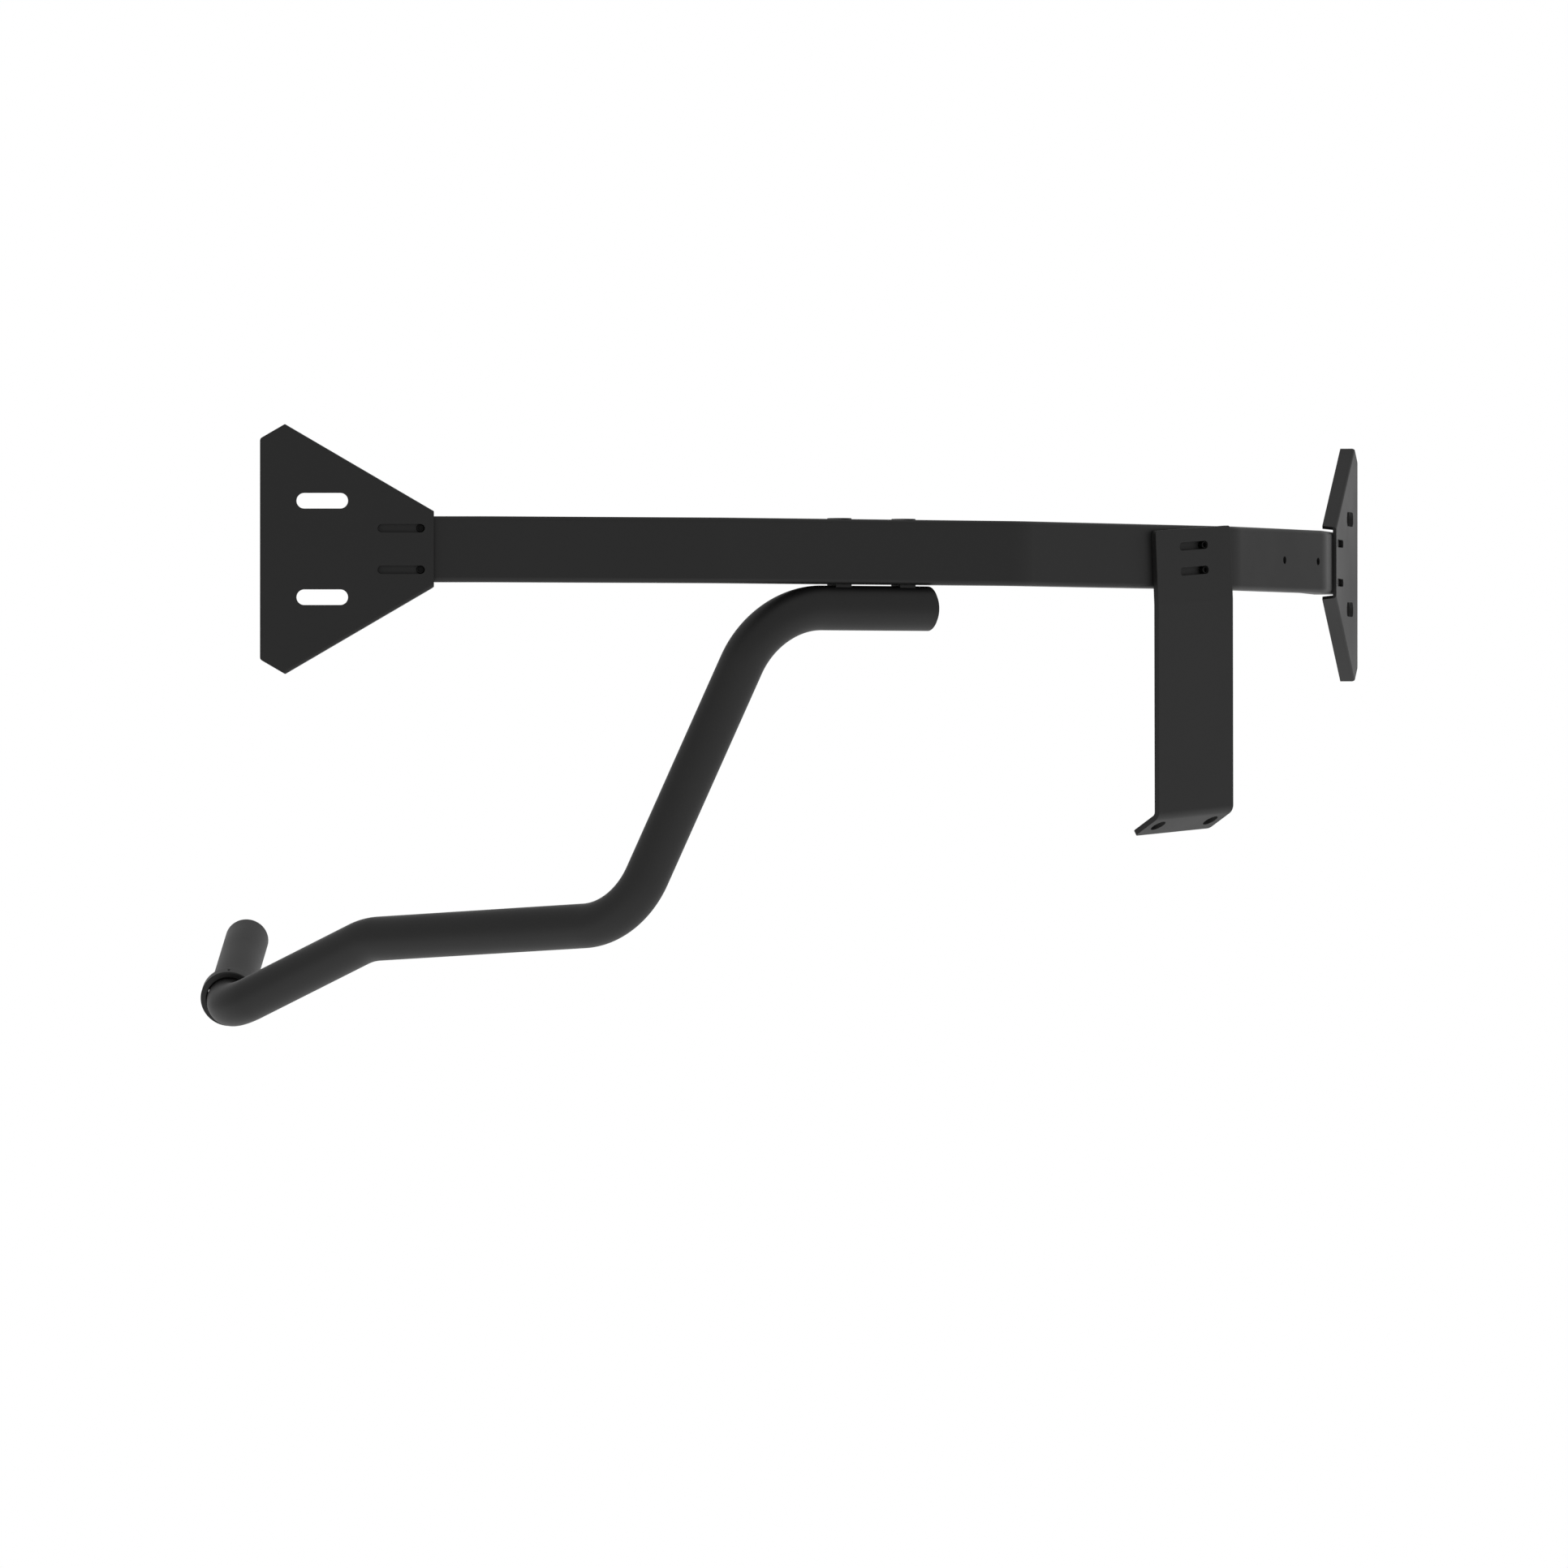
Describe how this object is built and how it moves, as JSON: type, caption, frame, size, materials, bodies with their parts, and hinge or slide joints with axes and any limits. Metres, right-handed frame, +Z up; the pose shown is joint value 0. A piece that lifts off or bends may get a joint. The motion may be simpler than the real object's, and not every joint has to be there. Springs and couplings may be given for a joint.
{
  "type": "corner pull-up bar",
  "caption": "Wall-mounted corner pull-up bar: bent rectangular crossbar between slotted wall plates, hanger bracket and a bent round arm ending in a grip.",
  "frame": {"origin": "outer face of the left wall plate, midway between its two wall slots", "axes": "+Z up, -Y straight out of the left wall plate into its wall, +X along the left end of the crossbar towards the right wall"},
  "size_m": [0.9433, 0.7401, 0.4718],
  "materials": {
    "black_powder_coat": "satin",
    "black_fasteners": "satin",
    "zinc_plated_steel": "satin",
    "black_plastic": "matte"
  },
  "bodies": {
    "left_plate": {"left_wall_plate": "black_powder_coat"},
    "bar": {"crossbar": "black_powder_coat", "crossbar_left_cap": "black_plastic", "crossbar_right_cap": "black_plastic", "arm_tube": "black_powder_coat", "arm_tube_cap": "black_plastic", "grip_end_cap": "black_plastic", "grip_stop_ring": "black_powder_coat", "stop_ring_screw": "black_fasteners", "arm_saddles": "black_powder_coat", "arm_bolts": "black_fasteners", "arm_nuts": "zinc_plated_steel", "access_hole_caps": "black_plastic", "left_plate_screws": "black_fasteners", "left_plate_washers": "black_fasteners", "left_plate_crush_sleeves": "zinc_plated_steel", "right_plate_screws": "black_fasteners", "right_plate_washers": "black_fasteners", "right_plate_crush_sleeves": "zinc_plated_steel", "bracket_screws": "black_fasteners", "bracket_washers": "black_fasteners", "bracket_crush_sleeves": "zinc_plated_steel"},
    "right_plate": {"right_wall_plate": "black_powder_coat"},
    "hanger": {"hanger_bracket": "black_powder_coat"}
  },
  "joints": [
    {"name": "left_plate_slide", "type": "slide", "parent": "left_plate", "child": "bar", "axis": [-1, 0, 0], "range_m": [0, 0.0294]},
    {"name": "right_plate_slide", "type": "slide", "parent": "bar", "child": "right_plate", "axis": [-0.1736, -0.9848, 0], "range_m": [0, 0.0294]},
    {"name": "bracket_slide", "type": "slide", "parent": "bar", "child": "hanger", "axis": [0.6416, 0.7646, 0.061], "range_m": [0, 0.0294]}
  ]
}
